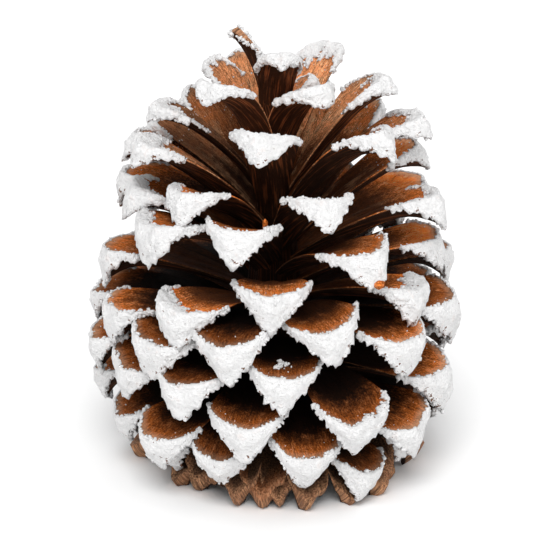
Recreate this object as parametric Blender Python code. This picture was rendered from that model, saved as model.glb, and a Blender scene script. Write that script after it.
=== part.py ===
"""An open pine cone that stands on its base: a woody axis and a spiral of scales, grown as one piece.

Metres, +Z up. The cone stands on Z = 0, on its cut stalk and on the worn tips of its lowest scales.
Scales are counted from the stalk (0) to the tip, and the front of the cone faces -Y.
"""

import math
import random

import bmesh
import bpy
import numpy as np
from mathutils import Matrix, Vector

MM = 0.001

# The spiral that all the scales stand on
SCALES = 127
TURN = -137.4  # degrees from one scale to the next one up
FIRST_AZIMUTH = 210.0  # degrees, from the front towards +X
SEED = 11

# How the scales change from the stalk (0) to the tip (1) of the cone
# Lengths are in mm and tilts in degrees above level
SHARE = (0.00, 0.12, 0.24, 0.31, 0.39, 0.48, 0.60, 0.72, 0.81, 0.87, 0.90, 0.96, 1.00)
BEAK_RADIUS = (9.0, 20.0, 22.4, 24.4, 29.2, 31.6, 31.4, 29.8, 28.2, 25.7, 24.5, 18.0, 12.0)
BEAK_HEIGHT = (0.6, 0.0, -0.3, 0.8, 7.8, 15.8, 25.4, 37.6, 52.0, 59.3, 63.0, 71.5, 75.0)
ROOT_HEIGHT = (3.0, 6.0, 9.0, 12.0, 15.5, 20.0, 25.5, 32.0, 38.0, 41.3, 43.0, 47.0, 49.0)
WIDTH = (4.8, 6.4, 7.8, 11.6, 13.0, 13.4, 13.4, 12.8, 11.6, 10.5, 9.8, 8.4, 4.4)
DEPTH = (2.4, 3.2, 4.2, 5.8, 6.4, 6.6, 6.6, 6.2, 5.6, 5.0, 3.4, 2.8, 1.6)
TILT = (-80.0, -48.0, -38.0, -30.0, -17.0, -11.0, -7.0, 3.0, 22.0, 27.0, 30.0, 36.0, 45.0)

# Scales that grew out of line with the others
# Each row is: degrees further round, mm further out, mm higher, degrees steeper
OUT_OF_LINE = {
    12: (0, 4, 0, 0),
    17: (-3, 3, 0, 0),
    20: (0, 1.5, 0, 0),
    22: (-4, 0, 0, 0),
    23: (0, -2, 1.5, 0),
    25: (0, 1, 0.2, 0),
    28: (0, -2, 1, 0),
    30: (0, 1, 0, 0),
    33: (0, -0.5, 0.5, 0),
    36: (0, -3, 2.5, 0),
    38: (8, 2.6, 0.3, 14),
    41: (3.5, 0, 2.5, 0),
    43: (0, -1, 1.5, 0),
    44: (0, -1, 1.5, 0),
    46: (3.5, 0, 0.3, 0),
    51: (11, 0, -1.2, 0),
    54: (1.5, 0, 1.7, 0),
    57: (2, -1.4, 3.5, 0),
    59: (2.5, 0, -2.5, -10),
    62: (0, 0, 1.6, 0),
    64: (13, -1, -4, 0),
    67: (-2, 0, 2, 0),
    70: (5, 0, 2.5, 0),
    72: (10, 0, 1.5, 0),
    75: (-2, 0, 1.8, 0),
    77: (3, 0, 0.5, 0),
    80: (0, 0, 1.2, 0),
    83: (2.5, 0, -1, 0),
    85: (5, 0, -1, 0),
    88: (-1, 0, 0.5, 0),
    89: (0, 0, 5, 8),
    91: (6, -0.5, 6.5, 0),
    92: (-9, 0, 1.5, 6),
    93: (3, 0, 1.5, 0),
    94: (0, -2, 4, 0),
    96: (7.5, 0, 2.7, 0),
    98: (9, 1, 0.5, 0),
    99: (0, -1.5, 0, 0),
    101: (6.5, 0, 0.8, 0),
    104: (3, -1, -2.5, -12),
    106: (2, 1, 7, 0),
    109: (2, -2, 4.5, 0),
    111: (0, 2, 1, -4),
    112: (-6, 2, -2, -10),
    114: (9, -9, 5.6, 0),
    115: (0, 0, -6, -10),
    117: (-8, 0.8, 5.3, -10),
    119: (12, 2, 1.5, 12),
    120: (0, 2.5, -6, -10),
    122: (2, -7, 4.3, 0),
    123: (0, 0, -3.3, 0),
    124: (0, -6, -3, 0),
    125: (-25, -5.5, 4.1, 20),
    126: (0, 0, -5, 0),
}

# One scale, as shares of its length, half width or depth
ROOT_WIDTH = 0.22
ROOT_DEPTH = 1.1 * MM
SHOULDER = 0.82  # where the outline is widest
CUP = 0.9 * MM  # how far the side edges turn up
NECK = 0.76  # where the thin blade ends and the thick shield flares out
NECK_DEPTH = 0.42
UMBO_RISE = 0.12
UMBO_DROP = 0.42
NO_BEND = 1e-6  # radians; a scale that bends less than this is taken as straight
STATIONS = (0.0, 0.45, NECK, 1.0)
RIM_ANGLES = (-90, -45, 0, 45, 90)

# The woody axis inside, and the stalk below it
AXIS_SIDES = 14
AXIS = (  # height and radius, in mm
    (-1.0, 4.2),
    (3.0, 4.4),
    (10.0, 5.2),
    (30.0, 5.0),
    (46.0, 3.4),
    (55.0, 1.2),
)

# How much one scale differs from the next, as standard deviations
TURN_SPREAD = 1.0  # degrees
ROLL_SPREAD = 5.0  # degrees
TILT_SPREAD = 3.0  # degrees
HEIGHT_SPREAD = 0.4 * MM
RADIUS_SPREAD = 0.4 * MM
SIZE_SPREAD = 0.035

STRAIGHT = 0.002 * MM  # how near to a line a corner counts as lying on it
FLOOR_BLOCK = 200 * MM  # side of the block that takes off what is below Z = 0
SOLVER = "MANIFOLD"  # EXACT loses most of the scales where so many roots cross


def along(values, share):
    """The value of one of the rows above at that share of the way up."""
    return float(np.interp(share, SHARE, values))


def growth(number, chance):
    """What one scale is like: where it stands and how big it is."""
    share = number / (SCALES - 1)
    draw = [chance.gauss(0, 1) for _ in range(6)]
    further, out, higher, steeper = OUT_OF_LINE.get(number, (0, 0, 0, 0))
    size = 1 + SIZE_SPREAD * draw[5]
    return {
        "azimuth": math.radians(FIRST_AZIMUTH + TURN * number + TURN_SPREAD * draw[0] + further),
        "roll": math.radians(ROLL_SPREAD * draw[1]),
        "tilt": math.radians(along(TILT, share) + TILT_SPREAD * draw[2] + steeper),
        "beak": (
            (along(BEAK_RADIUS, share) + out) * MM + RADIUS_SPREAD * draw[4],
            (along(BEAK_HEIGHT, share) + higher) * MM + HEIGHT_SPREAD * draw[3],
        ),
        "root": along(ROOT_HEIGHT, share) * MM,
        "width": along(WIDTH, share) * MM * size,
        "depth": along(DEPTH, share) * MM * size,
    }


def centreline(scale):
    """The arc along the middle of a scale's upper face: its length, its slope at the root and its bend."""
    tilt, depth = scale["tilt"], scale["depth"]
    run = scale["beak"][0] - depth * math.sin(tilt)
    rise = scale["beak"][1] + depth * math.cos(tilt) - scale["root"]
    chord = math.atan2(rise, run)
    start = 2 * chord - tilt
    bend = tilt - start
    length = math.hypot(rise, run)
    if abs(bend) > NO_BEND:
        length *= (bend / 2) / math.sin(bend / 2)
    return length, start, bend


def bent(scale, x, y, z):
    """A point of the flat scale (x along, y across, z up) carried onto its arc on the upright cone."""
    length, start, bend = centreline(scale)
    share = min(x / length, 1.0)
    slope = start + bend * share
    curvature = bend / length
    if abs(bend) > NO_BEND:
        out = (math.sin(slope) - math.sin(start)) / curvature
        up = (math.cos(start) - math.cos(slope)) / curvature
    else:
        out, up = share * length * math.cos(start), share * length * math.sin(start)
    beyond = x - share * length
    roll = scale["roll"] * share
    y, z = y * math.cos(roll) - z * math.sin(roll), y * math.sin(roll) + z * math.cos(roll)
    out += beyond * math.cos(slope) - z * math.sin(slope)
    up += beyond * math.sin(slope) + z * math.cos(slope) + scale["root"]
    sine, cosine = math.sin(scale["azimuth"]), math.cos(scale["azimuth"])
    return Vector((out * sine + y * cosine, -out * cosine + y * sine, up))


def flat_faced(name, points, faces):
    """A mesh whose faces are all triangles, so that each one is flat and cuts the others cleanly."""
    skin = bmesh.new()
    corners = [skin.verts.new(point) for point in points]
    for face in faces:
        skin.faces.new([corners[k] for k in face])
    bmesh.ops.triangulate(skin, faces=skin.faces[:])
    mesh = bpy.data.meshes.new(name)
    skin.to_mesh(mesh)
    skin.free()
    return mesh


def ring(scale, station):
    """The closed section of a scale at one station: the five points of the upper face, then the keel."""
    length = centreline(scale)[0]
    half = scale["width"] / 2 * (ROOT_WIDTH + (1 - ROOT_WIDTH) * station)
    depth = scale["depth"]
    if station <= NECK:
        keel = ROOT_DEPTH + (NECK_DEPTH * depth - ROOT_DEPTH) * station / NECK
    else:
        keel = depth
    points = []
    for angle in RIM_ANGLES:
        across = math.sin(math.radians(angle))
        reach = SHOULDER + (1 - SHOULDER) * math.cos(math.radians(angle))
        points.append((station * reach * length, across * half, CUP * (across * station) ** 2))
    points.append((station * length, 0, -keel))
    return [bent(scale, *point) for point in points]


def scale_mesh(name, scale):
    """One scale as a closed mesh: a bent blade with a keel below, closed by its shield with a low umbo."""
    length, depth = centreline(scale)[0], scale["depth"]
    rings = [ring(scale, station) for station in STATIONS]
    points = [point for each in rings for point in each]
    umbo = len(points)
    points.append(bent(scale, length + UMBO_RISE * depth, 0, -UMBO_DROP * depth))
    count = len(rings[0])
    faces = [tuple(reversed(range(count)))]
    for k in range(len(rings) - 1):
        for j in range(count):
            a, b = k * count + j, k * count + (j + 1) % count
            faces.append((a, b, b + count, a + count))
    last = (len(rings) - 1) * count
    faces += [(last + j, last + (j + 1) % count, umbo) for j in range(count)]
    return flat_faced(name, points, [tuple(reversed(face)) for face in faces])


def axis_mesh(name):
    """The woody axis with its cut stalk, turned round Z."""
    points, faces = [], []
    for height, radius in AXIS:
        for j in range(AXIS_SIDES):
            turn = 2 * math.pi * j / AXIS_SIDES
            points.append((radius * MM * math.cos(turn), radius * MM * math.sin(turn), height * MM))
    for k in range(len(AXIS) - 1):
        for j in range(AXIS_SIDES):
            a, b = k * AXIS_SIDES + j, k * AXIS_SIDES + (j + 1) % AXIS_SIDES
            faces.append((a, b, b + AXIS_SIDES, a + AXIS_SIDES))
    faces.append(tuple(reversed(range(AXIS_SIDES))))
    faces.append(tuple(range(len(points) - AXIS_SIDES, len(points))))
    return flat_faced(name, points, faces)


def bark_material():
    material = bpy.data.materials.new("cone_wood")
    material.use_nodes = True
    shader = material.node_tree.nodes["Principled BSDF"]
    shader.inputs["Base Color"].default_value = (0.15, 0.055, 0.02, 1)
    shader.inputs["Roughness"].default_value = 0.7
    shader.inputs["Metallic"].default_value = 0.0
    return material


def floor_block(name):
    """A block whose top is Z = 0."""
    half = FLOOR_BLOCK / 2
    square = ((-half, -half), (half, -half), (half, half), (-half, half))
    corners = [(x, y, z) for z in (-FLOOR_BLOCK, 0) for x, y in square]
    faces = [(3, 2, 1, 0), (4, 5, 6, 7)]
    faces += [(k, (k + 1) % 4, (k + 1) % 4 + 4, k + 4) for k in range(4)]
    return flat_faced(name, corners, faces)


def apply_boolean(obj, operation, other=None, collection=None):
    modifier = obj.modifiers.new("join", "BOOLEAN")
    modifier.operation = operation
    modifier.solver = SOLVER
    if collection:
        modifier.operand_type = "COLLECTION"
        modifier.collection = collection
    else:
        modifier.object = other
    graph = bpy.context.evaluated_depsgraph_get()
    joined = bpy.data.meshes.new_from_object(obj.evaluated_get(graph))
    obj.modifiers.clear()
    obj.data = joined


def fill_pockets(mesh):
    """Fills the pockets shut in among the roots: only the largest connected skin, the outside, stays."""
    skin = bmesh.new()
    skin.from_mesh(mesh)
    waiting = set(skin.faces)
    skins = []
    while waiting:
        found = [waiting.pop()]
        for face in found:
            near = {other for edge in face.edges for other in edge.link_faces} & waiting
            waiting -= near
            found += near
        skins.append(found)
    skins.sort(key=len)
    inner = [face for found in skins[:-1] for face in found]
    bmesh.ops.delete(skin, geom=inner, context="FACES")
    drop_idle_corners(skin)
    skin.to_mesh(mesh)
    skin.free()


def drop_idle_corners(skin):
    """Takes out the corners that lie on a straight edge between two faces, and leaves only triangles."""
    idle = []
    for vertex in skin.verts:
        if len(vertex.link_edges) == 2:
            start, end = [edge.other_vert(vertex).co for edge in vertex.link_edges]
            offset = (vertex.co - start).cross((end - start).normalized()).length
            if offset < STRAIGHT:
                idle.append(vertex)
    bmesh.ops.dissolve_verts(skin, verts=idle)
    bmesh.ops.triangulate(skin, faces=skin.faces[:])


def main():
    for obj in list(bpy.data.objects):
        bpy.data.objects.remove(obj)
    scene = bpy.context.scene
    chance = random.Random(SEED)

    cone = bpy.data.objects.new("pine_cone", axis_mesh("pine_cone"))
    scene.collection.objects.link(cone)
    scales = bpy.data.collections.new("scales")
    scene.collection.children.link(scales)
    for number in range(SCALES):
        name = f"scale_{number:03d}"
        scales.objects.link(bpy.data.objects.new(name, scale_mesh(name, growth(number, chance))))
    apply_boolean(cone, "UNION", collection=scales)
    for obj in list(scales.objects):
        bpy.data.objects.remove(obj)
    bpy.data.collections.remove(scales)

    block = bpy.data.objects.new("floor_block", floor_block("floor_block"))
    scene.collection.objects.link(block)
    apply_boolean(cone, "DIFFERENCE", other=block)
    bpy.data.objects.remove(block)
    fill_pockets(cone.data)

    points = [vertex.co for vertex in cone.data.vertices]
    middle = [(min(p[k] for p in points) + max(p[k] for p in points)) / 2 for k in range(2)]
    cone.data.transform(Matrix.Translation((-middle[0], -middle[1], 0)))
    cone.data.materials.clear()
    cone.data.materials.append(bark_material())


main()
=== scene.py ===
"""Looks of an open, white-flocked pine cone that stands on its base."""

import math
import random

import bpy
import numpy as np
from bpy.props import FloatProperty, FloatVectorProperty, PointerProperty
from mathutils import Matrix, Vector, noise


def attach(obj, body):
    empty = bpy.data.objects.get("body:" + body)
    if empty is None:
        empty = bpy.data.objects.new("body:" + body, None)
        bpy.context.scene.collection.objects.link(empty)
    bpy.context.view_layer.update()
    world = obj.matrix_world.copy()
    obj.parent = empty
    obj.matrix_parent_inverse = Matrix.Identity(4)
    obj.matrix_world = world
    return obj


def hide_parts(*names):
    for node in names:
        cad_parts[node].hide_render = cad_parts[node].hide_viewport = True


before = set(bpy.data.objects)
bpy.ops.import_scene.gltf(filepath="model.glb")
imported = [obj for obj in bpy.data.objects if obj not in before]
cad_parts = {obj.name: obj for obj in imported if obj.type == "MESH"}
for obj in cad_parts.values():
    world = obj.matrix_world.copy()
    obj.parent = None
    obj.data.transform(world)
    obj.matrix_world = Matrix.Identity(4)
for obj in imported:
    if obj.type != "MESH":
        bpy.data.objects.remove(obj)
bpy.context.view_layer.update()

bl_info = {
    "name": "Flocked Pine Cone",
    "version": (1, 0, 0),
    "blender": (4, 5, 0),
    "location": "View3D > Sidebar > Pine Cone",
    "description": "Builds the fine scales, the white flocking and the stage of a pine cone",
    "category": "Object",
}

MM = 0.001
BODY = "root"

# The spiral that all the scales stand on, as in the part
SCALES = 127
TURN = -137.4  # degrees from one scale to the next one up
FIRST_AZIMUTH = 210.0  # degrees, from the front towards +X
SEED = 11
AXIS_AT = (-0.176, -0.187)  # mm, where the axis stands once the box is centred

# How the scales change from the stalk (0) to the tip (1) of the cone. Lengths are in mm, and tilts in
# degrees above level
SHARE = (0.00, 0.12, 0.24, 0.31, 0.39, 0.48, 0.60, 0.72, 0.81, 0.87, 0.90, 0.96, 1.00)
BEAK_RADIUS = (9.0, 20.0, 22.4, 24.4, 29.2, 31.6, 31.4, 29.8, 28.2, 25.7, 24.5, 18.0, 12.0)
BEAK_HEIGHT = (0.6, 0.0, -0.3, 0.8, 7.8, 15.8, 25.4, 37.6, 52.0, 59.3, 63.0, 71.5, 75.0)
ROOT_HEIGHT = (3.0, 6.0, 9.0, 12.0, 15.5, 20.0, 25.5, 32.0, 38.0, 41.3, 43.0, 47.0, 49.0)
WIDTH = (4.8, 6.4, 7.8, 11.6, 13.0, 13.4, 13.4, 12.8, 11.6, 10.5, 9.8, 8.4, 4.4)
DEPTH = (2.4, 3.2, 4.2, 5.8, 6.4, 6.6, 6.6, 6.2, 5.6, 5.0, 3.4, 2.8, 1.6)
TILT = (-80.0, -48.0, -38.0, -30.0, -17.0, -11.0, -7.0, 3.0, 22.0, 27.0, 30.0, 36.0, 45.0)

# Scales that grew out of line with the others: degrees further round, mm further out, mm higher, and
# degrees steeper
OUT_OF_LINE = {
    12: (0, 4, 0, 0),
    17: (-3, 3, 0, 0),
    20: (0, 1.5, 0, 0),
    22: (-4, 0, 0, 0),
    23: (0, -2, 1.5, 0),
    25: (0, 1, 0.2, 0),
    28: (0, -2, 1, 0),
    30: (0, 1, 0, 0),
    33: (0, -0.5, 0.5, 0),
    36: (0, -3, 2.5, 0),
    38: (8, 2.6, 0.3, 14),
    41: (3.5, 0, 2.5, 0),
    43: (0, -1, 1.5, 0),
    44: (0, -1, 1.5, 0),
    46: (3.5, 0, 0.3, 0),
    51: (11, 0, -1.2, 0),
    54: (1.5, 0, 1.7, 0),
    57: (2, -1.4, 3.5, 0),
    59: (2.5, 0, -2.5, -10),
    62: (0, 0, 1.6, 0),
    64: (13, -1, -4, 0),
    67: (-2, 0, 2, 0),
    70: (5, 0, 2.5, 0),
    72: (10, 0, 1.5, 0),
    75: (-2, 0, 1.8, 0),
    77: (3, 0, 0.5, 0),
    80: (0, 0, 1.2, 0),
    83: (2.5, 0, -1, 0),
    85: (5, 0, -1, 0),
    88: (-1, 0, 0.5, 0),
    89: (0, 0, 5, 8),
    91: (6, -0.5, 6.5, 0),
    92: (-9, 0, 1.5, 6),
    93: (3, 0, 1.5, 0),
    94: (0, -2, 4, 0),
    96: (7.5, 0, 2.7, 0),
    98: (9, 1, 0.5, 0),
    99: (0, -1.5, 0, 0),
    101: (6.5, 0, 0.8, 0),
    104: (3, -1, -2.5, -12),
    106: (2, 1, 7, 0),
    109: (2, -2, 4.5, 0),
    111: (0, 2, 1, -4),
    112: (-6, 2, -2, -10),
    114: (9, -9, 5.6, 0),
    115: (0, 0, -6, -10),
    117: (-8, 0.8, 5.3, -10),
    119: (12, 2, 1.5, 12),
    120: (0, 2.5, -6, -10),
    122: (2, -7, 4.3, 0),
    123: (0, 0, -3.3, 0),
    124: (0, -6, -3, 0),
    125: (-25, -5.5, 4.1, 20),
    126: (0, 0, -5, 0),
}

# One scale, as lengths and as shares of its length, half width or depth
ROOT_WIDTH = 0.22
ROOT_DEPTH = 1.1 * MM
SHOULDER = 0.82  # where the outline is widest
CUP = 0.9 * MM  # how far the side edges turn up
NECK = 0.76  # where the thin blade ends and the thick shield flares out
NECK_DEPTH = 0.42
UMBO_RISE = 0.12
UMBO_DROP = 0.42
UMBO_SPREAD = 0.3
NO_BEND = 1e-6  # radians; a scale with less bend than this is straight

# How much one scale differs from the next, as standard deviations
TURN_SPREAD = 1.0  # degrees
ROLL_SPREAD = 5.0  # degrees
TILT_SPREAD = 3.0  # degrees
HEIGHT_SPREAD = 0.4 * MM
RADIUS_SPREAD = 0.4 * MM
SIZE_SPREAD = 0.035

# The woody axis inside, and the stalk below it: height and radius in mm
AXIS = ((0.0, 4.0), (0.0, 4.2), (3.0, 4.4), (10.0, 5.2), (30.0, 5.0), (46.0, 3.4), (55.0, 1.2))
AXIS_SIDES = 48
GROOVES = 9  # round the axis
GROOVE_DEPTH = 0.04  # as a share of its radius
GROOVE_TWIST = 0.3  # radians per mm of height

# The fine surface of a scale
COLUMNS = 18  # across
STATIONS = 20  # lengthwise
CROWDING = 1.25  # how much closer the stations stand towards the rim
CAP_ROWS = 5  # down the shield
TROUGH = (0.42, 0.2)  # where a seed lay, as a share of the half width, and how wide
TROUGH_ALONG = (0.5, 0.25)  # the same lengthwise
TROUGH_DEPTH = 0.25 * MM
FLARE = 1.9  # how late the neck flares into the shield
VALLEY = 1.12  # how hollow the two lower faces are
RIBS = 17  # waves round the lower face
RIB_DEPTH = 0.09 * MM
KNOBS = 0.03  # how far the knobs of a bare shield stand out
KNOB_DEPTH = 0.22  # how much thicker a bare shield is at its knobs
BARE_BLUNTNESS = 2.2  # how squarely a bare shield ends at its sides
BLUNT = 0.11  # how blunt the keel and the shield's lower corner are
GRAIN_APART = 7.3  # mm between the grain of one scale and that of the next
RIM_RIPPLES = (0.010, 0.007)  # long and short waves of the rim, as shares of the length
SIDE_RIPPLE = 0.02  # waves of the side edges, as a share of the width
FIRST_FLOCKED = 36  # the scales below this one were sheltered from the spray
THREADBARE = (125,)  # scales higher up that caught hardly any

# Upper faces that caught more flocking: mm of it behind the rim, at the left and at the right, seen from
# outside
DUSTED = {
    59: (0.3, 2.2), 83: (4.0, 0.3), 85: (0.5, 4.0), 91: (3.0, 1.0), 98: (3.0, 1.5), 99: (2.0, 4.0),
    104: (2.5, 0.6), 106: (0.5, 1.6), 109: (0.5, 0.5), 111: (2.0, 2.5), 112: (5.0, 4.0), 114: (3.0, 5.0),
    117: (3.0, 2.0), 119: (6.0, 0.8), 120: (2.0, 6.0), 121: (1.0, 5.0), 122: (4.0, 4.0), 123: (0.6, 1.2),
    125: (0.2, 1.0),
}

# Scales painted plainly darker (below 0) as painted shade, and lighter (above 1) as painted light, than the
# others
PAINTED_SHADE_AND_LIGHT = {
    41: -0.5, 62: -0.6, 75: -0.6, 110: -0.5, 115: -1.1, 120: -1.1,
    64: 2.0, 72: 1.6, 78: 2.2, 83: 2.4, 85: 1.8, 88: 1.6, 90: 2.4, 95: 2.4, 103: 2.4, 104: 2.0,
}

# Heaps of loose grains on upper faces: how far out, and the angle round the rim
HEAPS = {67: (0.84, 0.0), 109: (0.9, 0.5), 96: (0.95, 1.0)}

# Chips of torn wood: the scale, how far out, the angle round the rim, how far down the shield, and the
# size in mm
CHIPS = (
    (96, 0.9, 0.75, 0.0, (0.5, 0.45, 1.25)),
    (93, 1.0, 0.05, 0.93, (1.15, 1.05, 0.95)),
)
# What the wood material reads on a chip
CHIP_REACH = 0.925
CHIP_TONE = 2.2
CHIP_HEIGHT = 0.5

CROWN = 0.8  # share of the way up where the steep, ragged scales begin
WEAR = 0.85  # the crust is worn through where its noise is above this
CROWN_WEAR = 0.6  # the same on the steep scales
THREADBARE_WEAR = -0.1

# The crust of flocking
CRUST_COLUMNS = 52
BAND_ROWS = 12
SHIELD_ROWS = 14
UNDER_ROWS = 2
UNDER_REACH = 0.9 * MM
TOOTH = 0.9 * MM  # size of the ragged teeth along the lower edges
TOOTH_LENGTH = 0.85 * MM
TOOTH_SHARE = (1, 1, 1, 1, 1, 1, 1, 1, 0.75, 0.55, 0.5, 0.4, 0.4)  # of that length, from stalk to tip
SINK = 0.12 * MM  # how far the crust's inner side lies in the wood
WIDEST_BAND = 7.0 * MM
BAND_CROWDING = 1.4  # how much closer the rows of the band stand towards the rim
THINNEST = 0.16 * MM
SHIELD_COVER = 0.1 * MM  # how far inside the crust's edge the whole shield counts as lying
FADE = (0.8 * MM, 0.45)  # the crust thins over this distance from its edge, to this share
WORN_REACH = 1.2 * MM  # how far from its edge specks of wood are more likely
FRINGE = (0.55, 0.45)  # where the teeth begin down the shield, and the share that is left below it

# The noises that shape the crust: size in mm, and seed
CRUST_NOISES = ((2.4, 3.0), (0.8, 9.0), (1.5, 21.0), (0.6, 40.0))
TOOTH_SEED = 77.0

# Loose grains along the edges of the crust: their chance, and their least and greatest size in mm
SHIELD_GRAINS = (0.62, 0.18, 0.52)
RIM_GRAINS = (0.5, 0.12, 0.4)
GRAIN_LIFT = 0.35 * MM  # how far the highest of them stands off the wood
# Other loose grains: how many on each crust, and their least and greatest size in mm
TOP_GRAINS = (12, 0.2, 0.42)
# Crumbs on an upper face: how many, and how far out the nearest to the axis can lie
CRUMBS = (6, 0.9)
CROWN_CRUMBS = (16, 0.75)
HEAP_GRAINS = 36

# A loose grain or a chip is an uneven icosahedron. Its points are made of ones and the golden ratio,
# and this brings them to a distance of 1 from its middle
GOLDEN = 1.618
LUMP_RADIUS = 1.9

# The pieces of each kind: the name, the first scale, and the one after the last
WOOD_GROUPS = (
    ("base_scales", 0, FIRST_FLOCKED),
    ("broad_scales", FIRST_FLOCKED, 84),
    ("upper_scales", 84, SCALES),
)
FLOCKED_GROUPS = (
    ("lower", FIRST_FLOCKED, 67),
    ("middle", 67, 97),
    ("upper", 97, SCALES),
)

# The stage
FLOOR_HALF = 3.0  # m
AIR = 0.72  # strength of the even light from all round
LAMPS = (  # name, place in m, spread in degrees, strength
    ("key_light", (-0.05, -0.62, 0.80), 30, 1.95),
    ("fill_light", (0.50, -0.75, 0.35), 60, 0.45),
)
LAMPS_AIM = (0, 0, 0.04)
PICTURE = 550  # pixels across
AIM = (1, 183)  # the centre of the picture: pixels to the right of the foot of the axis, and above it
SENSOR = 36  # mm
CAMERA_SEES = (0.01, 20)  # m, the nearest and the farthest

LOOK_SEED = 300


def along(values, share):
    """The value of one of the rows above at that share of the way up."""
    return float(np.interp(share, SHARE, values))


def growth(number, chance):
    """What one scale is like: where it stands, how big it is, and the arc of its upper face."""
    share = number / (SCALES - 1)
    draw = [chance.gauss(0, 1) for _ in range(6)]
    further, out, higher, steeper = OUT_OF_LINE.get(number, (0, 0, 0, 0))
    size = 1 + SIZE_SPREAD * draw[5]
    scale = {
        "number": number,
        "share": share,
        "azimuth": math.radians(FIRST_AZIMUTH + TURN * number + TURN_SPREAD * draw[0] + further),
        "roll": math.radians(ROLL_SPREAD * draw[1]),
        "tilt": math.radians(along(TILT, share) + TILT_SPREAD * draw[2] + steeper),
        "beak": (
            (along(BEAK_RADIUS, share) + out) * MM + RADIUS_SPREAD * draw[4],
            (along(BEAK_HEIGHT, share) + higher) * MM + HEIGHT_SPREAD * draw[3],
        ),
        "root": along(ROOT_HEIGHT, share) * MM,
        "width": along(WIDTH, share) * MM * size,
        "depth": along(DEPTH, share) * MM * size,
    }
    run = scale["beak"][0] - scale["depth"] * math.sin(scale["tilt"])
    rise = scale["beak"][1] + scale["depth"] * math.cos(scale["tilt"]) - scale["root"]
    start = 2 * math.atan2(rise, run) - scale["tilt"]
    bend = scale["tilt"] - start
    length = math.hypot(rise, run)
    if abs(bend) > NO_BEND:
        length *= (bend / 2) / math.sin(bend / 2)
    look = random.Random(LOOK_SEED + number)
    scale.update(
        start=start,
        bend=bend,
        length=length,
        tone=PAINTED_SHADE_AND_LIGHT.get(number, look.random()),
        wave=[look.uniform(0, 2 * math.pi) for _ in range(3)],
    )
    return scale


def grown_scales():
    chance = random.Random(SEED)
    return [growth(number, chance) for number in range(SCALES)]


def bent(scale, x, y, z):
    """Points of the flat scale (x along, y across, z up) carried onto its arc, in the frame."""
    x, y, z = np.broadcast_arrays(x, y, z)
    length, start, bend = scale["length"], scale["start"], scale["bend"]
    share = np.minimum(x / length, 1.0)
    slope = start + bend * share
    curvature = bend / length
    if abs(bend) > NO_BEND:
        out = (np.sin(slope) - math.sin(start)) / curvature
        up = (math.cos(start) - np.cos(slope)) / curvature
    else:
        out, up = share * length * math.cos(start), share * length * math.sin(start)
    beyond = x - share * length
    roll = scale["roll"] * share
    y, z = y * np.cos(roll) - z * np.sin(roll), y * np.sin(roll) + z * np.cos(roll)
    out = out + beyond * np.cos(slope) - z * np.sin(slope)
    up = up + beyond * np.sin(slope) + z * np.cos(slope) + scale["root"]
    sine, cosine = math.sin(scale["azimuth"]), math.cos(scale["azimuth"])
    return np.stack(
        (
            out * sine + y * cosine + AXIS_AT[0] * MM,
            -out * cosine + y * sine + AXIS_AT[1] * MM,
            np.maximum(up, 0.0),
        ),
        axis=-1,
    )


def plan(scale, station, angle):
    """Where a point lies in the flat outline: x along and y across, from its station and rim angle."""
    first, second, third = scale["wave"]
    ripple = RIM_RIPPLES[0] * np.sin(3 * angle + first) + RIM_RIPPLES[1] * np.sin(7 * angle + second)
    ripple = ripple + knobs(scale, angle) * KNOBS
    reach = SHOULDER + (1 - SHOULDER) * np.cos(angle) + ripple * np.cos(angle)
    half = scale["width"] / 2 * (ROOT_WIDTH + (1 - ROOT_WIDTH) * station)
    side = 1 + SIDE_RIPPLE * np.sin(9 * station + third)
    return station * reach * scale["length"], np.sin(angle) * half * side


def knobs(scale, angle):
    """The knobs that dry resin left along a bare shield, from -1 to 1; 0 on the flocked ones."""
    if scale["number"] >= FIRST_FLOCKED:
        return 0 * angle
    return np.cos(5 * angle + scale["wave"][2] * 0.2)


def upper(scale, station, angle):
    """Height of the upper face in the flat scale: cupped, with a shallow trough for each seed."""
    across = np.sin(angle)
    trough = np.exp(-(((np.abs(across) - TROUGH[0]) / TROUGH[1]) ** 2))
    trough = trough * np.exp(-(((station - TROUGH_ALONG[0]) / TROUGH_ALONG[1]) ** 2))
    return CUP * (across * station) ** 2 - TROUGH_DEPTH * trough


def thickness(scale, station, angle):
    """How thick a scale is there: a blade that flares late into its shield, with ribs below."""
    edge = sizes().edge
    across = np.abs(np.sin(angle))
    depth = scale["depth"]
    neck = NECK_DEPTH * depth
    blade = ROOT_DEPTH + (neck - ROOT_DEPTH) * np.minimum(station / NECK, 1)
    flare = np.clip((station - NECK) / (1 - NECK), 0, 1) ** FLARE
    keel = blade + (depth - neck) * flare
    if scale["number"] < FIRST_FLOCKED:
        profile = 1 - across**BARE_BLUNTNESS
    else:
        across = np.minimum(np.hypot(across, BLUNT) - BLUNT * (1 - across), 1)
        profile = (1 - across) ** VALLEY
    ribs = RIB_DEPTH * np.sin(angle * RIBS + scale["wave"][0]) * np.clip(across * 4, 0, 1) * (1 - flare)
    keel = keel * (1 + KNOB_DEPTH * knobs(scale, angle) * flare)
    return edge + (keel - edge) * profile + ribs * (1 - across)


def shield(scale, angle, down):
    """A point of the shield: down is 0 at the rim and 1 at its lower edge."""
    x, y = plan(scale, 1.0, angle)
    across = np.abs(np.sin(angle))
    rise = UMBO_RISE * scale["depth"] * np.exp(-(((down - UMBO_DROP) / UMBO_SPREAD) ** 2)) * (1 - across)
    z = upper(scale, 1.0, angle) - down * thickness(scale, 1.0, angle)
    return x + rise, y, z


# Meshes


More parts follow.
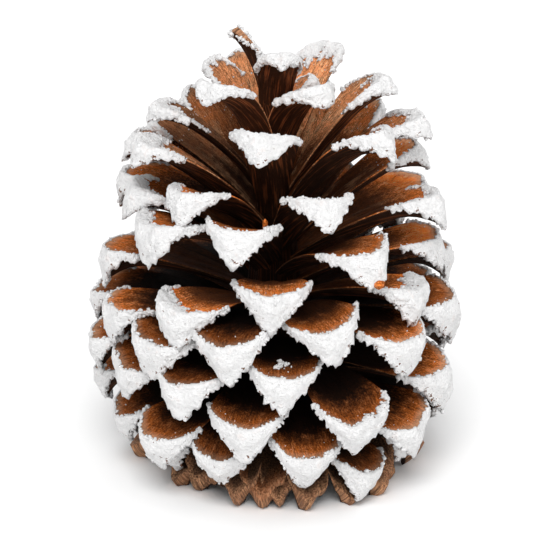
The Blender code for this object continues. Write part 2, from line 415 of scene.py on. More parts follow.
class Builder:
    """Gathers points, faces and values at points, and makes one mesh object of them."""

    def __init__(self):
        self.points = []
        self.faces = []
        self.values = {}
        self.count = 0

    def add(self, points, faces, **values):
        """Takes values for each point, or one number for all of them."""
        points = np.asarray(points, dtype=float).reshape(-1, 3)
        self.points.append(points)
        self.faces += [tuple(int(index) + self.count for index in face) for face in faces]
        for name, value in values.items():
            value = np.broadcast_to(value, (len(points),) + np.shape(value)[1:])
            self.values.setdefault(name, []).append(value)
        self.count += len(points)

    def finish(self, name, material, smooth=True):
        points = np.concatenate(self.points)
        mesh = bpy.data.meshes.new(name)
        mesh.from_pydata(points.tolist(), [], self.faces)
        for key, parts in self.values.items():
            value = np.concatenate(parts)
            if value.ndim == 2:
                mesh.attributes.new(key, "FLOAT_VECTOR", "POINT").data.foreach_set("vector", value.ravel())
            else:
                mesh.attributes.new(key, "FLOAT", "POINT").data.foreach_set("value", value.ravel())
        mesh.materials.append(material)
        mesh.polygons.foreach_set("use_smooth", [smooth] * len(mesh.polygons))
        mesh.update()
        piece = bpy.data.objects.new(name, mesh)
        bpy.context.scene.collection.objects.link(piece)
        return piece


def grid_faces(rows, columns, first=0, around=False):
    """Quads of a grid of points, row by row."""
    faces = []
    for row in range(rows - 1):
        for column in range(columns if around else columns - 1):
            a = first + row * columns + column
            b = first + row * columns + (column + 1) % columns
            faces.append((a, b, b + columns, a + columns))
    return faces


def add_scale(builder, scale):
    """One woody scale as a closed mesh: rings from the root to the rim, then the shield."""
    angles = np.linspace(-math.pi / 2, math.pi / 2, COLUMNS + 1)
    around = np.concatenate((angles, angles[::-1]))
    below = np.repeat((0.0, 1.0), COLUMNS + 1)
    steps = 1 - (1 - np.linspace(0, 1, STATIONS + 1)) ** CROWDING
    station, angle = np.meshgrid(steps, around, indexing="ij")
    x, y = plan(scale, station, angle)
    z = upper(scale, station, angle) - below * thickness(scale, station, angle)
    ring = len(around)
    flat = [np.stack((x, y, z), -1).reshape(-1, 3)]
    face = [np.broadcast_to(1 - 2 * below, station.shape).ravel()]
    reach = [station.ravel()]
    faces = grid_faces(STATIONS + 1, ring, around=True)
    faces.append(tuple(reversed(range(ring))))

    downs = np.linspace(0, 1, CAP_ROWS + 1)[1:-1]
    down, angle = np.meshgrid(downs, angles, indexing="ij")
    x, y, z = shield(scale, angle, down)
    first = (STATIONS + 1) * ring
    last = STATIONS * ring
    flat.append(np.stack((x, y, z), -1).reshape(-1, 3))
    face.append(np.zeros(x.size))
    reach.append(np.full(x.size, 1.0))
    width = COLUMNS + 1
    rows = [[last + column for column in range(width)]]
    rows += [[first + row * width + column for column in range(width)] for row in range(len(downs))]
    rows.append([last + ring - 1 - column for column in range(width)])
    for upper_row, lower_row in zip(rows, rows[1:]):
        for column in range(COLUMNS):
            faces.append((upper_row[column], upper_row[column + 1], lower_row[column + 1], lower_row[column]))
    # The last face of each side edge also takes in the ends of the shield's rows
    before = last - ring
    top_left, top_right, low_right, low_left = 0, COLUMNS, COLUMNS + 1, ring - 1
    faces.remove((before + top_right, before + low_right, last + low_right, last + top_right))
    faces.remove((before + low_left, before + top_left, last + top_left, last + low_left))
    right = [row[-1] for row in reversed(rows)]
    left = [row[0] for row in rows]
    faces.append((before + top_right, before + low_right, *right))
    faces.append((before + low_left, before + top_left, *left))
    flat = np.concatenate(flat)
    reach = np.concatenate(reach)
    number = scale["number"]
    apart = np.full(len(flat), number * GRAIN_APART)
    grain = np.stack((flat[:, 0] / MM, flat[:, 1] / MM, apart), -1)
    points = bent(scale, flat[:, 0], flat[:, 1], flat[:, 2])
    builder.add(
        points,
        [tuple(reversed(each)) for each in faces],
        grain=grain,
        side=np.concatenate(face),
        reach=reach,
        tone=scale["tone"],
        height=scale["share"],
    )


# Materials


class Value:
    """A socket of a shader graph that takes part in Python arithmetic."""

    def __init__(self, graph, socket):
        self.graph = graph
        self.socket = socket

    def _math(self, operation, *others):
        return self.graph.add("ShaderNodeMath", {"operation": operation}, *others)

    def __add__(self, other):
        return self._math("ADD", self, other)

    def __radd__(self, other):
        return self._math("ADD", other, self)

    def __sub__(self, other):
        return self._math("SUBTRACT", self, other)

    def __rsub__(self, other):
        return self._math("SUBTRACT", other, self)

    def __mul__(self, other):
        return self._math("MULTIPLY", self, other)

    def __rmul__(self, other):
        return self._math("MULTIPLY", other, self)

    def __pow__(self, other):
        return self._math("POWER", self, other)

    def __rpow__(self, other):
        return self._math("POWER", other, self)

    def size(self):
        return self._math("ABSOLUTE", self)

    def between(self, low, high):
        """0 below low, 1 above high, and smooth between them."""
        settings = {"interpolation_type": "SMOOTHSTEP"}
        return self.graph.add("ShaderNodeMapRange", settings, self, low, high, 0.0, 1.0)


class Graph:
    """The node tree of one material."""

    def __init__(self, name):
        self.material = bpy.data.materials.new(name)
        self.material.use_nodes = True
        self.nodes = self.material.node_tree.nodes
        self.links = self.material.node_tree.links
        self.shader = self.nodes["Principled BSDF"]

    def add(self, kind, settings, *values, output=0, **named):
        """Adds a node: its settings first, then its sockets by place or by name."""
        node = self.nodes.new(kind)
        for key, value in settings.items():
            setattr(node, key, value)
        sockets = [socket for socket in node.inputs if socket.enabled]
        for socket, value in zip(sockets, values):
            self.set(socket, value)
        for key, value in named.items():
            self.set(node.inputs[key], value)
        outputs = [socket for socket in node.outputs if socket.enabled]
        return Value(self, outputs[output] if isinstance(output, int) else node.outputs[output])

    def set(self, socket, value):
        if isinstance(value, Value):
            self.links.new(value.socket, socket)
        else:
            socket.default_value = value

    def attribute(self, name, output="Fac"):
        return self.add("ShaderNodeAttribute", {"attribute_name": name}, output=output)

    def stretched(self, vector, factors):
        return self.add("ShaderNodeVectorMath", {"operation": "MULTIPLY"}, vector, factors)

    def noise(self, vector, scale, detail=2.0, roughness=0.5):
        settings = {"noise_dimensions": "3D"}
        return self.add("ShaderNodeTexNoise", settings, vector, scale, detail, roughness)

    def mix(self, share, first, second):
        """A colour between two others."""
        node = self.nodes.new("ShaderNodeMix")
        node.data_type = "RGBA"
        for socket, value in zip((node.inputs[0], node.inputs[6], node.inputs[7]), (share, first, second)):
            self.set(socket, value if isinstance(value, (Value, float)) else tuple(value)[:3] + (1.0,))
        return Value(self, node.outputs[2])

    def shaded(self, colour, factor):
        """A colour made darker or lighter by a number."""
        return self.add("ShaderNodeVectorMath", {"operation": "SCALE"}, colour, Scale=factor)

    def bump(self, height, distance):
        return self.add("ShaderNodeBump", {}, Strength=1.0, Distance=distance, Height=height)

    def finish(self, **sockets):
        for key, value in sockets.items():
            self.set(self.shader.inputs[key.replace("_", " ")], value)
        return self.material


def wood_material():
    """Dry scale wood: rust brown and finely striped above, with painted shade towards the axis; dark and
    ribbed below, the dark being painted shade; glossier at the base, with painted highlights.
    """
    colours = bpy.context.scene.cone_colours
    graph = Graph("cone_wood")
    grain = graph.attribute("grain", "Vector")
    side = graph.attribute("side")
    reach = graph.attribute("reach")
    tone = graph.attribute("tone")
    height = graph.attribute("height")
    above = side.between(-0.1, 0.5)
    below = (side * -1.0).between(0.1, 0.6)
    low = 1.0 - height.between(0.22, 0.34)
    upper_half = height.between(0.60, 0.68)
    crown = height.between(0.82, 0.92)

    # Most of the noises are drawn out along the grain
    fine = graph.noise(graph.stretched(grain, (0.12, 2.6, 1.0)), 1.0, 3.0, 0.6)
    broad = graph.noise(graph.stretched(grain, (0.12, 0.7, 1.0)), 1.0, 2.0)
    fuzz = graph.noise(graph.stretched(grain, (2.2, 3.8, 1.0)), 1.0, 4.0, 0.8)
    mottle = graph.noise(grain, 0.55, 3.0, 0.6)
    pith = graph.noise(grain, 3.0, 2.0, 0.6)
    cracks = graph.noise(graph.stretched(grain, (0.22, 4.2, 1.0)), 1.0, 4.0, 0.65)
    crack = (1.0 - (cracks - 0.5).size().between(0.0, 0.035)) * mottle.between(0.35, 0.6)

    # Upper face: painted shade near the axis, where lit runs from the painted shade colour to rust brown with
    # pale streaks and seed marks towards the rim; the painted shade reaches less far on the upper half and
    # the crown
    lit = reach + upper_half * 0.08 + crown * 0.30 + (mottle - 0.5) * 0.26 + (fuzz - 0.5) * 0.20
    lit = lit.between(0.71, 1.0) ** 1.9
    dry = graph.mix(crown, tuple(colours.upper), tuple(colours.crown))
    # The painted shade near the axis is lighter on the upper half, as painted light on faces more open to the
    # lamps
    inner = graph.shaded(tuple(colours.inner), 1.0 + upper_half * 4.5)
    rust = graph.mix(lit, inner, dry)
    pale = (mottle * 0.6 + fuzz + cracks * 0.5 - 1.03).between(0.0, 0.25) * lit
    rust = graph.mix(pale * (0.4 + upper_half * 0.35 + crown * 0.2), rust, tuple(colours.seed_mark_and_highlight))
    seed = ((broad * 1.2 + mottle * 0.8) - 0.95).between(0.0, 0.35) * reach.between(0.15, 0.35)
    seed = seed * (1.0 - reach.between(0.72, 0.88)) * height.between(0.72, 0.92)
    rust = graph.mix(seed * 0.8, rust, tuple(colours.seed_mark_and_highlight))
    rust = graph.shaded(rust, 0.38 + fuzz.between(0.3, 0.7) * 0.9 + fine.between(0.3, 0.7) * 0.4)
    # Cracks darken; the upper half and the crown are painted lighter, as painted light on faces more open to
    # the lamps
    rust = graph.shaded(rust, (1.0 - crack * (0.65 + crown * 0.25)) * (1.0 + upper_half * 0.25 + crown * 0.3))
    edge = reach.between(0.93, 0.99) * (0.4 + fuzz * 0.5) * (1.0 - low)
    rust = graph.mix(edge, rust, tuple(colours.rim))

    # Lower face, painted dark as shade with lighter brown ribs, and painted lighter towards the crown as
    # painted light; and the bare shields at the base
    under = graph.mix(fine.between(0.5, 0.72), tuple(colours.underside), tuple(colours.rib))
    under = graph.shaded(under, (0.5 + broad * 0.9) * (1.0 + crown * 1.6))
    # Pale patches on the bare shields: painted highlights of the glossy base
    painted_highlight = (mottle + pith - 0.5).between(0.4, 0.75) * 0.75
    bare = graph.mix(painted_highlight, tuple(colours.base), tuple(colours.seed_mark_and_highlight))
    # Painted shade: the bare shields darken away from the rim, towards the axis
    painted_shade_inward = 0.25 + 0.75 * reach.between(0.9, 0.99)
    bare = graph.shaded(bare, (0.42 + pith.between(0.3, 0.7) * 0.95) * painted_shade_inward)
    colour = graph.mix(above * (1.0 - low), bare, rust)
    colour = graph.mix(below, colour, under)
    # Each scale's tone: random on most scales, and painted shade or painted light on the listed darker and
    # lighter scales
    colour = graph.shaded(colour, 0.8 + tone * 0.4)

    relief = fine * 0.4 + fuzz * 0.9 + mottle * 0.6 + pith * 0.3 - crack * 0.6 + low * (mottle + pith) * 1.6
    return graph.finish(
        Base_Color=colour,
        Roughness=0.75 - low * 0.38 + mottle * 0.1,
        Specular_IOR_Level=0.09,
        Normal=graph.bump(relief, 0.5 * MM),
    )


def flocking_material():
    """White flocking: a matt crust of fine grains, with specks where the wood shows through."""
    colours = bpy.context.scene.cone_colours
    flocking = bpy.context.scene.cone_flocking
    graph = Graph("white_flocking")
    place = graph.add("ShaderNodeTexCoord", {}, output="Object")
    grains = graph.noise(place, 1 / flocking.grain, 2.0, 0.6)
    lumps = graph.noise(place, 0.3 / flocking.grain, 2.0)
    fine = graph.noise(place, 2.4 / flocking.grain, 2.0, 0.7)
    patchy = graph.noise(place, 0.45 / flocking.grain, 4.0, 0.7)
    speck = (patchy + graph.attribute("worn") * 0.095).between(0.67, 0.71)
    shade = 0.74 + grains * 0.28 + lumps * 0.18 + (fine - 0.5) * 0.16
    stain = lumps.between(0.58, 0.75) * 0.10
    white = graph.mix(stain, tuple(colours.flocking), tuple(colours.crown))
    colour = graph.shaded(graph.mix(speck, white, tuple(colours.speck)), shade)
    return graph.finish(
        Base_Color=colour,
        Roughness=0.92,
        Specular_IOR_Level=0.25,
        Normal=graph.bump(grains * 0.9 + lumps + fine * 0.5, 0.65 * MM),
    )


def floor_material():
    graph = Graph("floor_paper")
    place = graph.add("ShaderNodeTexCoord", {}, output="Object")
    tooth = graph.noise(place, 400.0, 2.0)
    tone = bpy.context.scene.cone_stage.floor
    colour = graph.mix(tooth, tuple(0.995 * each for each in tone), tuple(tone))
    return graph.finish(Base_Color=colour, Roughness=0.9, Specular_IOR_Level=0.1)


# Settings


class ConeSizes(bpy.types.PropertyGroup):
    edge: FloatProperty(
        name="Edge", description="Thickness of a scale at its side edges", default=0.35 * MM,
        min=0.1 * MM, max=1.0 * MM, subtype="DISTANCE", unit="LENGTH",
    )


class ConeColours(bpy.types.PropertyGroup):
    upper: FloatVectorProperty(
        name="Upper face", description="Rust brown of the upper face near the rim",
        default=(0.60, 0.150, 0.024), min=0, max=1, subtype="COLOR",
    )
    crown: FloatVectorProperty(
        name="Upper face, crown", description="Tan of the drier upper faces at the top",
        default=(0.54, 0.205, 0.083), min=0, max=1, subtype="COLOR",
    )
    # Painted shade: the near black that the upper face turns towards the axis
    inner: FloatVectorProperty(
        name="Inner part", description="Upper face near the axis", default=(0.015, 0.0042, 0.0010),
        min=0, max=1, subtype="COLOR",
    )
    # Used for seed marks and pale streaks, and also as the painted highlights on the bare shields at the base
    seed_mark_and_highlight: FloatVectorProperty(
        name="Seed marks", description="Pale marks that the seeds left", default=(0.62, 0.33, 0.17),
        min=0, max=1, subtype="COLOR",
    )
    rim: FloatVectorProperty(
        name="Rim", description="Pale line along the rim of an upper face", default=(0.62, 0.39, 0.25),
        min=0, max=1, subtype="COLOR",
    )
    # Painted shade: the dark of the lower face
    underside: FloatVectorProperty(
        name="Underside", description="Dark lower face", default=(0.025, 0.0090, 0.0038),
        min=0, max=1, subtype="COLOR",
    )
    rib: FloatVectorProperty(
        name="Ribs", description="Ribs of the lower face", default=(0.19, 0.060, 0.021),
        min=0, max=1, subtype="COLOR",
    )
    base: FloatVectorProperty(
        name="Base", description="Bare shields at the base", default=(0.47, 0.225, 0.120),
        min=0, max=1, subtype="COLOR",
    )
    speck: FloatVectorProperty(
        name="Specks", description="Wood that shows through the flocking", default=(0.16, 0.065, 0.030),
        min=0, max=1, subtype="COLOR",
    )
    flocking: FloatVectorProperty(
        name="Flocking", description="White of the flocking", default=(0.90, 0.895, 0.895),
        min=0, max=1, subtype="COLOR",
    )


class ConeFlocking(bpy.types.PropertyGroup):
    thickness: FloatProperty(
        name="Thickness", description="Mean thickness of the crust", default=0.5 * MM,
        min=0.2 * MM, max=2.0 * MM, subtype="DISTANCE", unit="LENGTH",
    )
    grain: FloatProperty(
        name="Grain", description="Width of one grain", default=0.5 * MM,
        min=0.1 * MM, max=2.0 * MM, subtype="DISTANCE", unit="LENGTH",
    )
    band: FloatProperty(
        name="Band", description="Mean width of the band on the upper face behind the rim", default=0.45 * MM,
        min=0.0, max=6.0 * MM, subtype="DISTANCE", unit="LENGTH",
    )


class ConeStage(bpy.types.PropertyGroup):
    elevation: FloatProperty(
        name="Camera elevation", description="Height of the camera above level", default=math.radians(21),
        min=0, max=math.radians(89), subtype="ANGLE", unit="ROTATION",
    )
    distance: FloatProperty(
        name="Camera distance", description="From the camera to the cone", default=0.6,
        min=0.2, max=5.0, subtype="DISTANCE", unit="LENGTH",
    )
    field: FloatProperty(
        name="Field", description="Width of the picture at the cone", default=96.8 * MM,
        min=0.05, max=1.0, subtype="DISTANCE", unit="LENGTH",
    )
    floor: FloatVectorProperty(
        name="Floor", description="Pale paper under the cone", default=(0.96, 0.96, 0.96),
        min=0, max=1, subtype="COLOR",
    )


def sizes():
    return bpy.context.scene.cone_sizes


# Pieces


def crust_skin(scale):
    """The skin that the crust lies on, as a grid of points: the band behind the rim, the shield, and a
    strip of the lower face. Also how far each point lies behind the rim, or (below 0) under the scale."""
    angles = np.linspace(-math.pi / 2, math.pi / 2, CRUST_COLUMNS + 1)
    length = scale["length"]
    rows = []
    behind = []
    for row in range(BAND_ROWS):
        back = WIDEST_BAND * (1 - row / BAND_ROWS) ** BAND_CROWDING
        station = 1 - back / length
        x, y = plan(scale, station, angles)
        rows.append((x, y, upper(scale, station, angles)))
        behind.append(np.full(len(angles), back))
    for row in range(SHIELD_ROWS + 1):
        rows.append(shield(scale, angles, row / SHIELD_ROWS))
        behind.append(np.zeros(len(angles)))
    for row in range(1, UNDER_ROWS + 1):
        back = UNDER_REACH * row / UNDER_ROWS
        station = 1 - back / length
        x, y = plan(scale, station, angles)
        rows.append((x, y, upper(scale, station, angles) - thickness(scale, station, angles)))
        behind.append(np.full(len(angles), -back))
    flat = np.array([np.stack(np.broadcast_arrays(*row), -1) for row in rows])
    return bent(scale, flat[..., 0], flat[..., 1], flat[..., 2]), np.array(behind), angles


def noise_at(points, size, seed):
    """Smooth noise from about -1 to 1 at points in the frame."""
    flat = (points.reshape(-1, 3) / size + seed).tolist()
    return np.array([noise.noise(point) for point in flat]).reshape(points.shape[:-1])


def normals_of(skin):
    """Outward normals of a grid of points."""
    down = np.gradient(skin, axis=0)
    across = np.gradient(skin, axis=1)
    normal = np.cross(across, down)
    for _ in range(2):
        padded = np.pad(normal, ((1, 1), (1, 1), (0, 0)), mode="edge")
        normal = padded[1:-1, 1:-1] * 2 + padded[:-2, 1:-1] + padded[2:, 1:-1]
        normal = normal + padded[1:-1, :-2] + padded[1:-1, 2:]
    size = np.linalg.norm(normal, axis=-1, keepdims=True)
    return -normal / np.maximum(size, 1e-12)


def joined(kept):
    """The kept cells, with one more wherever two of them would touch only at a corner."""
    kept = kept.copy()
    while True:
        a, b, c, d = kept[:-1, :-1], kept[:-1, 1:], kept[1:, :-1], kept[1:, 1:]
        falling = a & d & ~b & ~c
        rising = b & c & ~a & ~d
        if not (falling | rising).any():
            return kept
        kept[:-1, 1:] |= falling
        kept[:-1, :-1] |= rising


def crust_cover(scale, behind, angles, wide, ragged, look):
    """How far inside the edge of the crust each point of the skin lies. Below 0 the point is bare."""
    mean_band = bpy.context.scene.cone_flocking.band
    left, right = (mean_band * look.uniform(0.3, 1.0) for _ in range(2))
    if scale["number"] in DUSTED:
        left, right = (width * MM for width in DUSTED[scale["number"]])
    across = np.sin(angles)[None, :]
    band = left + (right - left) * (across + 1) / 2
    band = band * (1 - 0.5 * np.abs(across) ** 4)
    cover = np.where(
        behind >= 0,
        band * (1 + 0.9 * wide + 1.3 * ragged) - behind,
        0.5 * UNDER_REACH * (1 + 1.2 * wide + 1.2 * ragged) + behind,
    )
    on_shield = behind == 0
    cover = np.where(on_shield, np.maximum(cover, SHIELD_COVER), cover)
    wear = CROWN_WEAR if scale["share"] > CROWN else WEAR
    if scale["number"] in THREADBARE:
        wear = THREADBARE_WEAR
    holes = on_shield & (wide + ragged * 0.7 > wear)
    return np.where(holes, -SHIELD_COVER, cover)


def crust_top(scale, skin, normal, cover, lumps, grains):
    """The outer side of the crust, its thickness, and how much of a fringe of teeth each row has."""
    thick = bpy.context.scene.cone_flocking.thickness * (0.85 + 0.55 * lumps + 0.35 * grains)
    thick = np.maximum(thick * np.clip(cover / FADE[0], FADE[1], 1), THINNEST)
    outer = skin + normal * thick[..., None]
    fringe = (np.arange(len(skin)) - BAND_ROWS - SHIELD_ROWS * FRINGE[0]) / (SHIELD_ROWS * FRINGE[1])
    fringe = np.clip(fringe, 0, 1)[:, None]
    down = np.gradient(skin, axis=0)
    down /= np.maximum(np.linalg.norm(down, axis=-1, keepdims=True), 1e-9)
    down[BAND_ROWS + SHIELD_ROWS - 1:] = down[BAND_ROWS + SHIELD_ROWS - 2]
    teeth = np.clip(noise_at(skin, TOOTH, TOOTH_SEED) * 2.2 + 0.25, -0.15, 1.0) + 0.3 * grains
    reach = TOOTH_LENGTH * along(TOOTH_SHARE, scale["share"])
    outer += (down * 0.85 + normal * 0.25) * (fringe * teeth * reach)[..., None]
    return outer, thick, fringe


def crust_faces(kept):
    """The faces round the kept cells of a grid with an outer and an inner side, the points that they
    use, and the points along the border."""
    columns = kept.shape[1] + 1
    total = (kept.shape[0] + 1) * columns
    used = {}
    faces = []
    border = set()

    def index(key):
        return used.setdefault(key, len(used))

    filled = np.pad(kept, 1)
    for row, column in np.argwhere(kept):
        a = row * columns + column
        corners = (a, a + 1, a + columns + 1, a + columns)
        faces.append([index(key) for key in corners])
        faces.append([index(total + key) for key in reversed(corners)])
        sides = (
            (filled[row, column + 1], corners[1], corners[0]),
            (filled[row + 1, column + 2], corners[2], corners[1]),
            (filled[row + 2, column + 1], corners[3], corners[2]),
            (filled[row + 1, column], corners[0], corners[3]),
        )
        for neighbour, first, second in sides:
            if not neighbour:
                faces.append([index(first), index(second), index(total + second), index(total + first)])
                border.add(first)
    return [face[::-1] for face in faces], np.array(list(used), dtype=int), sorted(border)


def scattered(scale, skin, normal, thick, cover, border, look):
    """The loose grains on and around one crust: a place and a size each."""
    loose = []
    flat_skin = skin.reshape(-1, 3)
    flat_normal = normal.reshape(-1, 3)
    flat_thick = thick.reshape(-1)
    for key in border:
        share, least, greatest = SHIELD_GRAINS if key // skin.shape[1] > BAND_ROWS else RIM_GRAINS
        if look.random() < share:
            size = look.uniform(least, greatest) * MM
            loose.append((flat_skin[key] + flat_normal[key] * look.uniform(0.0, GRAIN_LIFT), size))
    covered = np.flatnonzero((cover > 0).ravel())
    count, least, greatest = TOP_GRAINS
    for _ in range(count):
        key = int(covered[look.randrange(len(covered))])
        size = look.uniform(least, greatest) * MM
        loose.append((flat_skin[key] + flat_normal[key] * (flat_thick[key] - size * 0.3), size))
    count, nearest = CROWN_CRUMBS if scale["share"] > CROWN else CRUMBS
    crumbs = [
        (look.uniform(nearest, 0.985), look.uniform(-1.3, 1.3), look.uniform(0.05, 0.14))
        for _ in range(count)
    ]
    if scale["number"] in HEAPS:
        station, angle = HEAPS[scale["number"]]
        crumbs += [
            (station + look.gauss(0, 0.026), angle + look.gauss(0, 0.12), look.uniform(0.12, 0.4))
            for _ in range(HEAP_GRAINS)
        ]
    for station, angle, size in crumbs:
        x, y = plan(scale, station, angle)
        spot = bent(scale, x, y, upper(scale, station, angle) + size * 0.5 * MM)
        loose.append((spot, size * MM))
    return loose


def add_crust(builder, scale):
    """The crust on one scale, with an outer and an inner side. Gives back its loose grains."""
    look = random.Random(LOOK_SEED * 3 + scale["number"])
    skin, behind, angles = crust_skin(scale)
    normal = normals_of(skin)
    wide, ragged, lumps, grains = (noise_at(skin, size * MM, seed) for size, seed in CRUST_NOISES)
    cover = crust_cover(scale, behind, angles, wide, ragged, look)
    outer, thick, fringe = crust_top(scale, skin, normal, cover, lumps, grains)
    inner = skin - normal * SINK
    points = np.concatenate((outer.reshape(-1, 3), inner.reshape(-1, 3)))
    points[:, 2] = np.maximum(points[:, 2], 0.0)
    cell = (cover[:-1, :-1] + cover[1:, :-1] + cover[:-1, 1:] + cover[1:, 1:]) / 4
    faces, keys, border = crust_faces(joined(cell > 0))
    worn = np.where(behind == 0, fringe, np.clip(1 - cover / WORN_REACH, 0, 1))
    builder.add(points[keys], faces, worn=np.tile(worn.ravel(), 2)[keys])
    return scattered(scale, skin, normal, thick, cover, border, look)


LUMP = np.array([
    (0, -1, GOLDEN), (0, 1, GOLDEN), (0, -1, -GOLDEN), (0, 1, -GOLDEN),
    (-1, GOLDEN, 0), (1, GOLDEN, 0), (-1, -GOLDEN, 0), (1, -GOLDEN, 0),
    (GOLDEN, 0, -1), (GOLDEN, 0, 1), (-GOLDEN, 0, -1), (-GOLDEN, 0, 1),
]) / LUMP_RADIUS
LUMP_FACES = [
    (0, 9, 1), (0, 1, 11), (0, 11, 6), (0, 6, 7), (0, 7, 9),
    (1, 5, 4), (1, 4, 11), (1, 9, 5), (9, 8, 5), (9, 7, 8),
    (7, 2, 8), (7, 6, 2), (6, 10, 2), (6, 11, 10), (11, 4, 10),
    (4, 3, 10), (4, 5, 3), (5, 8, 3), (8, 2, 3), (2, 10, 3),
]


def add_chip(builder, scale, station, angle, down, size):
    """A chip of torn wood, on the upper face or, where down is above 0, on the shield."""
    if down > 0:
        x, y, z = shield(scale, angle, down)
    else:
        x, y = plan(scale, station, angle)
        z = upper(scale, station, angle) + size[2] * MM * 0.6
    points = LUMP * np.array(size) * MM + bent(scale, x, y, z)
    look = {"side": 1.0, "reach": CHIP_REACH, "tone": CHIP_TONE, "height": CHIP_HEIGHT}
    builder.add(points, LUMP_FACES, grain=points / MM, **look)


def add_grains(builder, loose):
    """Loose grains of flocking as small uneven lumps."""
    chance = np.random.default_rng(LOOK_SEED)
    for spot, size in loose:
        uneven = chance.uniform(0.6, 1.35, 3) * chance.uniform(0.8, 1.2, (len(LUMP), 1))
        angle = chance.uniform(0, 6.28)
        turn = np.array(Matrix.Rotation(angle, 3, Vector(chance.normal(size=3)).normalized()))
        points = (LUMP * uneven) @ turn.T * size + spot
        points[:, 2] = np.maximum(points[:, 2], 0.0)
        builder.add(points, LUMP_FACES, worn=0.0)


def add_axis(builder):
    """The grooved woody axis with its cut stalk below."""
    turns = np.linspace(0, 2 * math.pi, AXIS_SIDES, endpoint=False)
    rings = []
    for height, radius in AXIS:
        grooved = radius * (1 + GROOVE_DEPTH * np.sin(turns * GROOVES + height * GROOVE_TWIST))
        x = grooved * np.cos(turns) + AXIS_AT[0]
        y = grooved * np.sin(turns) + AXIS_AT[1]
        rings.append(np.stack((x, y, np.full(AXIS_SIDES, height)), -1) * MM)
    points = np.concatenate(rings)
    count = len(points)
    faces = grid_faces(len(AXIS), AXIS_SIDES, around=True)
    faces.append(tuple(reversed(range(AXIS_SIDES))))
    faces.append(tuple(range(count - AXIS_SIDES, count)))
    around = np.tile(turns * 12, len(AXIS))
    grain = np.stack((points[:, 2] / MM, around, np.zeros(count)), -1)
    builder.add(points, faces, grain=grain, side=-1.0, reach=0.0, tone=0.4, height=0.1)


def dress(piece, slot, *nodes):
    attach(piece, BODY)
    if nodes:
        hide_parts(*nodes)


class CONE_OT_scales(bpy.types.Operator):
    """Build the woody scales and the axis"""

    bl_idname = "cone.scales"
    bl_label = "Scales"

    def execute(self, context):
        material = wood_material()
        scales = grown_scales()
        for name, low, high in WOOD_GROUPS:
            builder = Builder()
            for scale in scales[low:high]:
                add_scale(builder, scale)
                for number, *place in CHIPS:
                    if number == scale["number"]:
                        add_chip(builder, scale, *place)
            dress(builder.finish(name, material), "cone_wood", "pine_cone")
        builder = Builder()
        add_axis(builder)
        dress(builder.finish("cone_axis", material), "cone_wood", "pine_cone")
        return {"FINISHED"}


class CONE_OT_flocking(bpy.types.Operator):
    """Build the white crust on the shields and rims, and its loose grains"""

    bl_idname = "cone.flocking"
    bl_label = "Flocking"

    def execute(self, context):
        material = flocking_material()
        scales = grown_scales()
        for name, low, high in FLOCKED_GROUPS:
            crust = Builder()
            loose = []
            for scale in scales[low:high]:
                loose += add_crust(crust, scale)
            dress(crust.finish(name + "_flocking", material), "white_flocking")
            grains = Builder()
            add_grains(grains, loose)
            dress(grains.finish(name + "_grains", material), "white_flocking")
        return {"FINISHED"}


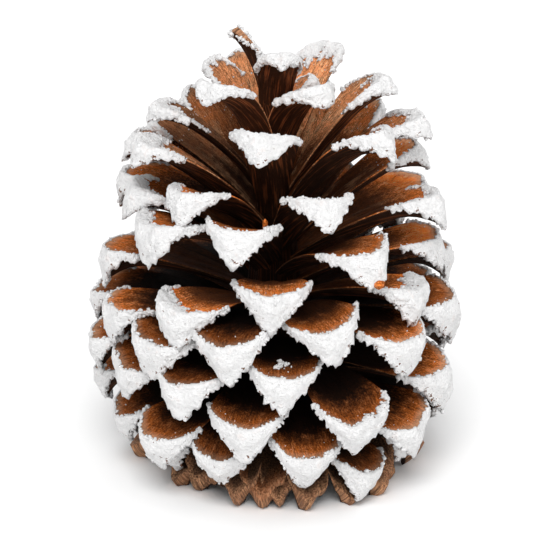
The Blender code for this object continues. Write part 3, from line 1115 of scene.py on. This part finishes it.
class CONE_OT_stage(bpy.types.Operator):
    """Build the pale floor, the soft light and the camera"""

    bl_idname = "cone.stage"
    bl_label = "Stage"

    def execute(self, context):
        scene = context.scene
        stage = scene.cone_stage
        floor = Builder()
        half = FLOOR_HALF
        floor.add([(-half, -half, 0), (half, -half, 0), (half, half, 0), (-half, half, 0)], [(0, 1, 2, 3)])
        floor.finish("floor", floor_material(), smooth=False)

        world = bpy.data.worlds.new("studio_air")
        world.use_nodes = True
        world.node_tree.nodes["Background"].inputs["Color"].default_value = (1, 1, 1, 1)
        world.node_tree.nodes["Background"].inputs["Strength"].default_value = AIR
        scene.world = world
        for name, place, spread, strength in LAMPS:
            self.lamp(name, place, math.radians(spread), strength)

        elevation = stage.elevation
        forward = Vector((0, math.cos(elevation), -math.sin(elevation)))
        up = Vector((0, math.sin(elevation), math.cos(elevation)))
        pixel = stage.field / PICTURE
        foot = Vector((AXIS_AT[0] * MM, AXIS_AT[1] * MM, 0))
        aim = foot + Vector((AIM[0] * pixel, 0, 0)) + up * (AIM[1] * pixel)
        aim -= forward * (aim.y / math.cos(elevation))
        camera = bpy.data.objects.new("camera", bpy.data.cameras.new("camera"))
        scene.collection.objects.link(camera)
        camera.location = aim - forward * stage.distance
        camera.rotation_euler = forward.to_track_quat("-Z", "Y").to_euler()
        camera.data.sensor_width = SENSOR
        camera.data.lens = SENSOR * stage.distance / stage.field
        camera.data.clip_start, camera.data.clip_end = CAMERA_SEES
        scene.camera = camera
        scene.view_settings.view_transform = "Standard"
        return {"FINISHED"}

    def lamp(self, name, place, spread, strength):
        """A broad light so far off that it falls evenly on the whole floor."""
        data = bpy.data.lights.new(name, "SUN")
        data.angle = spread
        data.energy = strength
        lamp = bpy.data.objects.new(name, data)
        lamp.location = place
        lamp.rotation_euler = (Vector(LAMPS_AIM) - Vector(place)).to_track_quat("-Z", "Y").to_euler()
        bpy.context.scene.collection.objects.link(lamp)


class CONE_PT_panel(bpy.types.Panel):
    """Lists the settings and the steps of the pine cone"""

    bl_idname = "CONE_PT_panel"
    bl_label = "Pine Cone"
    bl_space_type = "VIEW_3D"
    bl_region_type = "UI"
    bl_category = "Pine Cone"

    def draw(self, context):
        layout = self.layout
        for group in GROUPS:
            box = layout.box()
            settings = getattr(context.scene, group)
            for name in settings.__annotations__:
                box.prop(settings, name)
        for operator in OPERATORS:
            layout.operator(operator.bl_idname)


GROUPS = {
    "cone_sizes": ConeSizes,
    "cone_colours": ConeColours,
    "cone_flocking": ConeFlocking,
    "cone_stage": ConeStage,
}
OPERATORS = (CONE_OT_scales, CONE_OT_flocking, CONE_OT_stage)


def register():
    for group in GROUPS.values():
        bpy.utils.register_class(group)
    for name, group in GROUPS.items():
        setattr(bpy.types.Scene, name, PointerProperty(type=group))
    for each in OPERATORS + (CONE_PT_panel,):
        bpy.utils.register_class(each)


def unregister():
    for each in (CONE_PT_panel,) + OPERATORS:
        bpy.utils.unregister_class(each)
    for name, group in GROUPS.items():
        delattr(bpy.types.Scene, name)
        bpy.utils.unregister_class(group)


def main():
    register()
    bpy.ops.cone.scales()
    bpy.ops.cone.flocking()
    bpy.ops.cone.stage()


if __name__ == "__main__":
    main()
